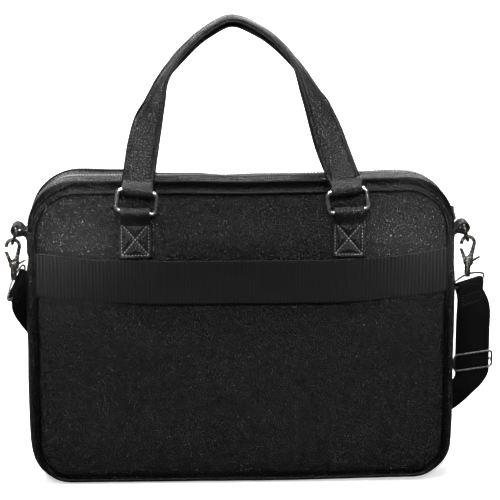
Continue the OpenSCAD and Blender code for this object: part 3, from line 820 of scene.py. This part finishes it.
def tab(front, right):
    side, cx = (1 if front else -1), (RING_X if right else -RING_X)
    name = ("front" if front else "rear") + ("_right" if right else "_left") + "_tab"
    hw, hz, cz, seam = 16.2, 18.5, 243.7, 3.1  # half width, half height, middle, seam from the edge

    e, g = 1 - seam / hw, 1 - seam / hz

    def height(u, v):
        """Leather surface over the panel: puffy triangles between the seams of a crossed square."""
        border = min(hw - abs(u) * hw, hz - abs(v) * hz)
        if border < seam:
            return 1.2 + 2.0 * math.sin(math.pi * border / seam) ** 0.6
        cross = abs(abs(u) * hw / (hw - seam) - abs(v) * hz / (hz - seam)) * 10.0
        d = min(border - seam, cross)
        return 1.0 + 3.9 * (1 - math.exp(-(d / 2.6) ** 1.1)) + 0.15 * wob(u * e * 6, v * g * 6, cx)

    us = [-1, -0.99, -0.96, -0.9, -0.85, -0.815, -0.79]
    us += [-0.76 + 1.52 * i / 34 for i in range(35)] + [-u for u in reversed(us)]

    def point(v, u):
        x = cx + u * (hw - 0.5 * (v * v))
        z = cz + v * (hz - 0.4 * (u * u))
        base = skin_y(x, z, front)
        h = 0.9 if max(abs(u), abs(v)) > 0.985 else height(u, v)
        return (x, side * (base + h), z), (x, side * (base - 0.4), z)

    parts = [slab(us, us, point)]
    path = [(1.6, -12.5), (0.6, -10), (-1.6, -6.5), (-3.4, -3.2), (-3.9, 0), (-2.75, 2.75), (0, 3.9),
            (2.75, 2.75), (3.9, 0), (4.0, -3), (3.9, -7)]
    parts.append(strap_loop(path, 14.8, 2.4, lambda x, v, u: (cx + x, side * (RING_Y - v), RING_Z + u)))
    ob = build(name + "_leather", parts, HANDLE_LEATHER)
    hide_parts(name)
    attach(ob, "bag")

    def at(u, v):
        x, z = cx + u * hw, cz + v * hz
        return (x, side * (skin_y(x, z, front) + 1.45), z), (0, side, 0)

    lines = box_lines(-e, -g, e, g) + [((-e, -g), (e, g)), ((-e, g), (e, -g))]
    rows = sewn(lines, 8, at, 2.9, 2.0, 0.55)
    # the light grey thread paints in the shine along the crossed seams
    ob = build(name + "_stitches", rows, SHINE_TAB_THREAD)
    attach(ob, "bag")


for at_front in (False, True):
    for at_right in (False, True):
        tab(at_front, at_right)

# x, up, width, thickness, curl in degrees, twist in degrees
HANDLE = [(-98.9, 7.5, 30.5, 4.6, 0, 0), (-98.0, 14, 31, 4.4, 4, 0), (-95.4, 32, 31, 4.3, 14, 2),
          (-90, 60, 29.5, 4.2, 60, 14), (-83.5, 84, 28.5, 4.0, 135, 42), (-73, 107, 27, 3.6, 225, 78),
          (-55, 130, 25, 3.3, 285, 104), (-33, 150, 25.5, 3.3, 295, 112), (-8, 161.5, 26.5, 3.5, 290, 112),
          (20, 150, 26, 3.4, 290, 108), (42, 131, 25.5, 3.3, 285, 100), (60, 107.5, 28, 3.8, 190, 70),
          (73.5, 81, 29, 4.1, 95, 28), (81.5, 57, 30, 4.2, 45, 10), (88.8, 33, 31, 4.3, 12, 2),
          (95.8, 14, 31, 4.4, 4, 0), (98.7, 7.5, 30.5, 4.6, 0, 0)]
RING_TILT, RING_RISE = math.radians(8), 20
RING_TOP_X, RING_TOP_Z = RING_X - RING_RISE * math.sin(RING_TILT), RING_Z + RING_RISE * math.cos(RING_TILT)
LEAN = math.radians(13.2)  # of the handles, towards each other


def handle_point(front, x, v, u):
    """v is away from the bag, u is up along the leaning handle."""
    y = RING_Y + v * math.cos(LEAN) - u * math.sin(LEAN)
    z = RING_TOP_Z + u * math.cos(LEAN) + v * math.sin(LEAN)
    return x, (y if front else -y), z


def handle(front):
    name = ("front" if front else "rear") + "_handle"
    rows = curve(HANDLE, 7)
    fracs = [1, 0.985, 0.95, 0.9, 0.84, 0.8, 0.765, 0.73, 0.68, 0.55, 0.4, 0.2]
    qs = [-f for f in fracs] + [0] + list(reversed(fracs))
    rings, edges = [], {-1: [], 1: []}
    for i, (x, u, w, th, curl, twist) in enumerate(rows):
        t = heading(rows, i)
        inward = Vector((t[1], 0, -t[0]))  # x, v, u
        out = Vector((0, 1, 0))
        c, s = math.cos(math.radians(twist)), math.sin(math.radians(twist))
        nrm = out * c - inward * s
        wid = inward * c + out * s
        phi = math.radians(max(curl, 0.5))
        k = phi / w
        lift = (1 - math.sin(phi / 2) / (phi / 2)) / k
        squash = 1 - 0.42 * ease((curl - 120) / 140)

        def at(q, off):
            m = wid * (math.sin(k * q) / k) + nrm * (lift - (1 - math.cos(k * q)) / k) * squash
            d = nrm * math.cos(k * q) + wid * math.sin(k * q)
            m = m + d * off
            return handle_point(front, x + m[0], m[1], u + m[2]), d

        pinch = 0.6 * math.exp(-((i - 3) / 1.5) ** 2)
        ring = []
        for f in qs:
            body = (1 - abs(f) ** 7) ** 0.5
            groove = 1.3 * math.exp(-((abs(f) - 0.765) / 0.045) ** 2)
            puff = 0.35 * math.exp(-((abs(f) - 0.88) / 0.07) ** 2) + 0.5 * math.exp(-(f / 0.5) ** 2)
            rough = 0.5 * wob(i / 4.1, f * 1.6, 5.0)
            ring.append(at(f * w / 2, th / 2 * body - groove + puff + rough - pinch * (abs(f) < 0.9))[0])
        for f in (0.95, 0.8, 0.5, 0.0, -0.5, -0.8, -0.95):
            ring.append(at(f * w / 2, -th / 2 * (1 - abs(f) ** 7) ** 0.5)[0])
        rings.append(ring)
        for sgn in (-1, 1):
            p, d = at(sgn * 0.765 * w / 2, th / 2 - 0.95)
            nd = Vector(handle_point(front, *d)) - Vector(handle_point(front, 0, 0, 0))
            edges[sgn].append((p, nd))
    ob = build(name + "_leather", [loft(rings)], HANDLE_LEATHER)
    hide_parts(name)
    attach(ob, name)
    parts = []
    for sgn in (-1, 1):
        parts += stitches(edges[sgn], 3.4, 2.4, 0.42)
    ob = build(name + "_stitches", parts, THREAD)
    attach(ob, name)
    parts = []
    for sgn in (-1, 1):
        tilt = RING_TILT * sgn
        path = [(-1.2, 11), (-1.7, 8.5), (-3.1, 5.2), (-3.85, 2.2), (-3.9, 0), (-2.75, -2.75), (0, -3.9),
                (2.75, -2.75), (3.9, 0), (3.85, 2.2), (3.1, 5.2), (1.7, 8.5), (1.2, 11)]

        def place(x, v, u):
            """The loop lies along the tilted bar and straightens towards the handle."""
            return handle_point(front, sgn * RING_TOP_X + x, v, u + x * math.tan(tilt) * (1 - ease(u / 12)))

        parts.append(strap_loop(path, 15.0, 2.4, place, 0.975))
        cross = [(handle_point(front, sgn * RING_TOP_X + x, 2.2, 9.6), (0, 1 if front else -1, 0))
                 for x in range(-12, 13, 3)]
        row = build(name + ("_right" if sgn > 0 else "_left") + "_cross_stitches",
                    stitches(cross, 3.0, 2.1, 0.4), THREAD)
        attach(row, name)
    ob = build(name + "_turned_ends", parts, HANDLE_LEATHER)
    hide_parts(name + "_loops")
    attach(ob, name)


handle(False)
handle(True)

# ---------- side tabs ----------


def side_tab(right):
    sgn = 1 if right else -1
    name = ("right" if right else "left") + "_side_tab"
    path = [(206.3, 222.8), (206.5, 229), (206.7, 236), (207.6, 240.6), (210.0, 242.4), (213.0, 242.3),
            (216.8, 241.7), (220.2, 243.1), (221.8, 246.5), (220.3, 249.9), (217, 251.3), (213.4, 250.0),
            (211.2, 247.4), (209.0, 245.7), (206.2, 245.2)]
    pts = curve(path, 4)
    rings = []
    n = len(pts)
    for i, (x, z) in enumerate(pts):
        t = heading(pts, i)
        nx, nz = t[1], -t[0]
        half = 11.4 - 0.7 * ease((x - 208) / 10)
        puff = 0.5 * ease((238 - z) / 4) if i < n * 0.4 else 0
        thick = 2.1 + 0.9 * ease((z - 238) / 4)
        rings.append([(sgn * (x + nx * thick * ft), fy * half, z + nz * thick * ft) for fy, ft in
                      ((-1, 0), (-0.98, 0.4), (-0.9, 0.5), (-0.72, 0.42), (-0.55, 0.5 + puff * 0.4),
                       (0, 0.52 + puff * 0.6), (0.55, 0.5 + puff * 0.4), (0.72, 0.42), (0.9, 0.5),
                       (0.98, 0.4), (1, 0), (0.9, -0.5), (0, -0.5), (-0.9, -0.5))])
    ob = build(name + "_leather", [loft(rings)], LEATHER)
    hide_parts(name)
    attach(ob, "bag")
    rows = sewn(box_lines(-8.3, 225, 8.3, 237), 6, lambda y, z: ((sgn * 207.6, y, z), (sgn, 0, 0)),
                2.8, 2.0, 0.38)
    ob = build(name + "_stitches", rows, THREAD)
    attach(ob, "bag")


side_tab(False)
side_tab(True)

# ---------- shoulder strap ----------

STRAP_W, STRAP_T = 36.0, 2.2
NEAR_RUN, FAR_RUN, RUN_END, RUN_Z = 58, 77, 120, 20  # two flat runs on the floor behind the bag
# x, y, z of the middle line and the direction across the strap
STRAP_LEFT = [
    (-217.9, 9.3, 187.3, 37, 53, 77), (-217.7, 17.5, 181.6, 38, 54, 76), (-216, 29, 170, 45, 70, 50),
    (-210.5, 42, 157, 62, 72, 30), (-200, 52.5, 141, 82, 50, 28), (-185, 59, 122, 82, 15, 55),
    (-162, 61, 94, 72, 0, 69), (-130, 60, 60, 58, 0, 81), (-92, 59, 34, 38, 0, 92),
    (-50, 58, 21, 12, 0, 99), (0, 58, 20, 0, 0, 100), (120, 58, 20, 0, 0, 100)]
STRAP_RIGHT = [
    (-120, 77, 20, 0, 0, 100), (20, 77, 20, 0, 0, 100), (80, 77, 20.5, -2, 0, 100),
    (125, 76.5, 25, -16, 0, 98), (160, 73.5, 34, -34, 0, 94), (190, 66, 46, -56, 4, 83),
    (207.4, 58.1, 56, -80, -4, 55), (220.9, 49.1, 67, -94, -14, 22), (228.2, 34.1, 78, -95, -20, 2),
    (232, 20.9, 91.2, -96, -20, -8), (231.6, 17.9, 104, -96, -20, -8), (230.6, 10, 137.5, -96, -20, -8),
    (229.9, 4.7, 160, -95, -24, -8), (226.9, 2.5, 174.5, -83, -54, -12), (225.5, 1.8, 183.4, -83, -54, -12)]


def strap():
    turn = (FAR_RUN - NEAR_RUN) / 4
    rows = curve(STRAP_LEFT, 6)[:-1]
    for cx, cy, side in ((RUN_END, NEAR_RUN + turn, 1), (-RUN_END, NEAR_RUN + 3 * turn, -1)):
        for k in range(13):
            a = math.radians(k * 15 - 90)
            rows.append([cx + side * turn * math.cos(a), cy + turn * math.sin(a), RUN_Z, 0, 0, 100])
        if side == 1:
            rows += [[RUN_END - 2 * RUN_END * i / 24, NEAR_RUN + 2 * turn, RUN_Z, 0, 0, 100]
                     for i in range(1, 24)]
    rows += curve(STRAP_RIGHT, 6)[1:]
    n = len(rows)
    rings, run, uv = [], 0.0, []
    fr = [(-1, 0), (-0.985, 0.36), (-0.94, 0.5), (-0.86, 0.44), (-0.5, 0.5), (0, 0.5), (0.5, 0.5),
          (0.86, 0.44), (0.94, 0.5), (0.985, 0.36)]
    fr += [(-f, -t) for f, t in fr]
    for i, r in enumerate(rows):
        p = Vector(r[:3])
        a, b = Vector(rows[max(i - 1, 0)][:3]), Vector(rows[min(i + 1, n - 1)][:3])
        run += (p - a).length
        across = Vector(r[3:])
        along = (b - a).normalized()
        nrm = along.cross(across).normalized()
        w = nrm.cross(along).normalized()
        ends = min(ease(run / 16), ease((n - 1 - i) / 7))
        half = (STRAP_W / 2) * (0.86 + 0.14 * ends)
        bow = 0.3 * wob(run / 37, 6.0)
        ring = []
        for f, t in fr:
            ring.append(p + w * (f * half) + nrm * (t * STRAP_T + bow * (1 - f * f)))
            uv.append((run * MM, f * half * MM))
        rings.append(ring)
    ob = build("shoulder_strap_webbing", [loft(rings)], STRAP, uv=uv)
    return ob, run


strap_ob, strap_length = strap()


def bar_place(hook, turn, tilt, shift):
    """Where the bar of a wire loop hangs below its hook: turned, tilted and shifted."""
    x, _, z = joint_at(hook)
    m = Matrix.Translation((x + 0.5, 0, z - 34.2))
    m = m @ Matrix.Rotation(math.radians(turn), 4, "Z") @ Matrix.Rotation(math.radians(-tilt), 4, "Y")
    return m @ Matrix.Translation((-shift, 0, -10))


def strap_end(name, frame_at, toward):
    """The strap's end turned round the bar of its wire loop, and sewn down on itself."""
    centre = frame_at.translation
    bx = (frame_at.to_3x3() @ Vector((1, 0, 0))).normalized()
    down = Vector(toward) - centre
    down = (down - bx * down.dot(bx)).normalized()
    out = bx.cross(down).normalized()

    def place(x, v, u):
        return centre + bx * x + out * v - down * u

    half = [(1.5, -22), (1.55, -14), (1.7, -8.5), (3.0, -4.2), (3.75, -1), (3.3, 2.1), (1.6, 3.6)]
    path = half + [(0, 3.85)] + [(-v, u) for v, u in reversed(half)]
    ob = build(name, [strap_loop(path, 15.8, 1.5, place, 0.98)], STRAP)
    rows = []
    for v in (-2.3, 2.3):
        rows += sewn(box_lines(-12, -9.5, 12, -19), 6, lambda x, u: (place(x, v, u), out * v), 3.0, 2.1, 0.36)
    st = build(name + "_stitches", rows, TAPE)
    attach(ob, "bag")
    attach(st, "bag")
    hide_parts("strap_end_loops")
    return [ob, st]


ends = strap_end("left_strap_end", bar_place("left_hook_swing", 55, 50, 2), STRAP_LEFT[1][:3])
ends += strap_end("right_strap_end", bar_place("right_hook_swing", 33, 7, -1.5), STRAP_RIGHT[-2][:3])
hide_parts("shoulder_strap")
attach(strap_ob, "bag")

# ---------- front pocket and the inside ----------


POCKET_HALF, POCKET_Z, POCKET_TOP, POCKET_R = 165, 36, 205, 14.0


def pocket():
    edge = [0, 0.5, 1.4, 3, 5.5, 9]
    low_x, low_z = POCKET_HALF - POCKET_R, POCKET_Z + POCKET_R  # centre of a rounded bottom corner
    xs = [e - POCKET_HALF for e in edge] + [5.0 * i - 150 for i in range(61)]
    xs += [POCKET_HALF - e for e in reversed(edge)]
    zs = [POCKET_Z + e for e in edge] + [51 + 147 * i / 40 for i in range(41)] + [201, 203, 204.4, POCKET_TOP]

    def point(z, x):
        d, sx, sz = min(POCKET_HALF - abs(x), z - POCKET_Z), x, z
        if abs(x) > low_x and z < low_z:
            h = math.hypot(abs(x) - low_x, z - low_z)
            d = POCKET_R - h
            if h > POCKET_R:
                sx = math.copysign(low_x + (abs(x) - low_x) * POCKET_R / h, x)
                sz = low_z + (z - low_z) * POCKET_R / h
        d = max(0.0, d)
        rise = 1 - math.exp(-d / 7.0)
        tall = min(1, (z - POCKET_Z) / (POCKET_TOP - POCKET_Z))
        fit = 0.6 + 7.4 * rise * (0.75 + 0.25 * math.sin(math.pi * tall))
        y = skin_y(x, z, True) + fit + 0.5 * rise * wob(x / 45, z / 45, 11.0)
        y += 0.25 * wob(x / 9, z / 9, 4.0) * math.exp(-d / 5)
        return (sx, y + 1.5 + 0.5 * ease((z - 196) / 3), sz), (sx, y, sz)

    ob = build("front_pocket_leather", [slab(zs, xs, point)], LEATHER)
    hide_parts("front_pocket")
    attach(ob, "bag")
    z = 197.5
    path = []
    for x in range(-162, 163, 4):
        rise = 1 - math.exp(-(POCKET_HALF - abs(x)) / 7)
        y = skin_y(x, z, True) + 0.6 + 7.4 * 0.93 * rise + 1.6 + 0.5 * rise * wob(x / 45, z / 45, 11.0)
        path.append(((x, y, z), (0, 1, 0)))
    ob = build("front_pocket_stitches", stitches(path), THREAD)
    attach(ob, "bag")


pocket()


def inner_wall(name, side):
    """One face of the cloth lining."""

    def point(z, f):
        x = f * half_width(z, 3.2)
        d = 0.25 * wob(x / 30, z / 40, side * 3.0)
        return (x, side * (31.9 + d), z), (x, side * (31.2 + d), z)

    zs = [3.6 + 282.4 * i / 48 for i in range(49)]
    ob = build(name, [slab(zs, [i / 32 - 1 for i in range(65)], point)], LINING)
    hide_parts("lining")
    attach(ob, "bag")


inner_wall("lining_rear_wall", -1)
inner_wall("lining_front_wall", 1)


def lining_sides():
    """Lining inside the corners, down the sides and over the base board."""
    parts = []
    for y0, y1 in ((-31, -7.6), (7.6, 31)):
        for way in (-1, 1):
            stations = [way * s for s in spans(166, ZIP_END - 1)]
            parts.append(ring_loft([(y0, 3.4, 0), (y1, 3.4, 0), (y1, 4.0, 0), (y0, 4.0, 0)], stations))
    stations = spans(ZIP_END, HALF_RUN)
    stations += [-s for s in reversed(stations[:-1])]
    ring = [(y, 3.3 + 0.25 * wob(y / 9, 1.0), 3.0) for y in range(-31, 32, 5)]
    ring += [(y, a + 0.6, 6.6) for y, a, _ in reversed(ring)]
    parts.append(ring_loft(ring, stations))
    ob = build("lining_sides", parts, LINING)
    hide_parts("base_board")
    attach(ob, "bag")


lining_sides()


def divider():
    """The bound, padded divider, rounded like the bag at the bottom."""
    half, z0, z1 = 200.5, 7.4, 257.8
    middle, thick, y0 = -10.0, 3.0, -13.0

    def point(z, f):
        w = half if z > BOT_R else half_width(z, HALF - half)
        x = f * w
        d = min(w - abs(x), z1 - z, z - z0)
        h = thick * (1 - 0.55 * math.exp(-d / 3.5))
        q = 0.3 * wob(x / 40, z / 40, y0)
        return (x, middle - h + q, z), (x, middle + h + q, z)

    sheet = slab([z0 + (z1 - z0) * i / 40 for i in range(41)], [i / 28 - 1 for i in range(57)], point)
    ob = build("laptop_divider_pad", [sheet], DIVIDER)
    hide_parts("laptop_divider")
    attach(ob, "bag")


divider()


def organiser():
    """Slip pocket on the inside of the front wall, sewn down along two seams."""

    def point(z, x):
        seam = min(abs(x + 40), abs(x - 40), 120 - abs(x), z - 69.5)
        y = 30.3 - 7.0 * (1 - math.exp(-seam / 6)) - 0.3 * wob(x / 20, z / 30)
        return (x, y, z), (x, y + 0.9, z)

    sheet = slab([70 + 5 * i for i in range(31)], [4 * i - 120 for i in range(61)], point)
    ob = build("organiser_pocket", [sheet], LINING)
    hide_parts("inner_pocket")
    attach(ob, "bag")


organiser()


def closing_strap():
    """The laptop strap, from the rear wall over to the divider."""
    rings = []
    pts = curve([(-30.0, 258.8), (-29.9, 261), (-28.6, 262.7), (-26, 263.1), (-20, 263.3), (-14, 263.1),
                 (-8.4, 262.9)], 4)
    for i, (y, z) in enumerate(pts):
        t = heading(pts, i)
        ny, nz = -t[1], t[0]
        rings.append([(fx * 16, y + ny * 0.8 * ft, z + nz * 0.8 * ft) for fx, ft in
                      ((-1, 0), (-0.96, 1), (0, 1), (0.96, 1), (1, 0), (0.96, -1), (0, -1), (-0.96, -1))])
    ob = build("laptop_fastening", [loft(rings)], DIVIDER)
    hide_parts("laptop_strap")
    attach(ob, "laptop_strap")


closing_strap()

# ---------- materials of the carried-over parts ----------


def clothe(node, material):
    ob = bpy.data.objects.get(node)
    for s in ob.material_slots:
        s.material = material
    if not ob.material_slots:
        ob.data.materials.append(material)


for n in frame["nodes"]:
    if n.endswith("_ring") and "d_ring" not in n:
        clothe(n, STEEL)
    elif "adjuster" in n or "wire_loop" in n:
        clothe(n, BUCKLE)
    elif any(k in n for k in ("hook", "trigger", "rivet", "swivel", "d_ring", "slider", "pull")):
        clothe(n, ANTIQUE)

# ---------- stage ----------


def stage():
    """A pale floor that sweeps up behind the bag."""
    n = Nodes("stage_paint", Specular_IOR_Level=0.2)
    cloud = n.noise(3.0, 2.0)
    seen = n.tree.nodes.new("ShaderNodeLightPath")
    tone = n.add(n.spread(seen.outputs["Is Camera Ray"], 0, 1, 0.3, 0.94),
                 n.spread(cloud, 0, 1, -0.01, 0.01))
    tone = n.math("SUBTRACT", tone, n.spread(seen.outputs["Is Glossy Ray"], 0, 1, 0.0, 0.28))
    n.set("Base Color", n.ramp(tone, [(0.0, (0, 0, 0)), (1.0, (1, 1, 1))]))
    n.bsdf.inputs["Emission Color"].default_value = (1, 1, 1, 1)
    n.set("Emission Strength", n.spread(seen.outputs["Is Camera Ray"], 0, 1, 0.0, 0.6))
    n.set("Roughness", n.spread(cloud, 0, 1, 0.8, 0.9))
    prof = [(-3.5, 0), (1.0, 0), (1.6, 0.02), (2.1, 0.14), (2.5, 0.45), (2.7, 0.95), (2.75, 1.6), (2.75, 4.0)]
    pts = curve(prof, 5)
    verts = [(x, y, z - 0.00005) for y, z in pts for x in (-5, 5)]
    faces = [(2 * i, 2 * i + 1, 2 * i + 3, 2 * i + 2) for i in range(len(pts) - 1)]
    me = bpy.data.meshes.new("stage")
    me.from_pydata(verts, [], faces)
    me.polygons.foreach_set("use_smooth", [True] * len(faces))
    me.materials.append(n.mat)
    linked("stage", me)


stage()
area("backdrop_light", (0, 1.3, 2.6), (0, 2.7, 0.9), (4.0, 1.0), 120).visible_glossy = False
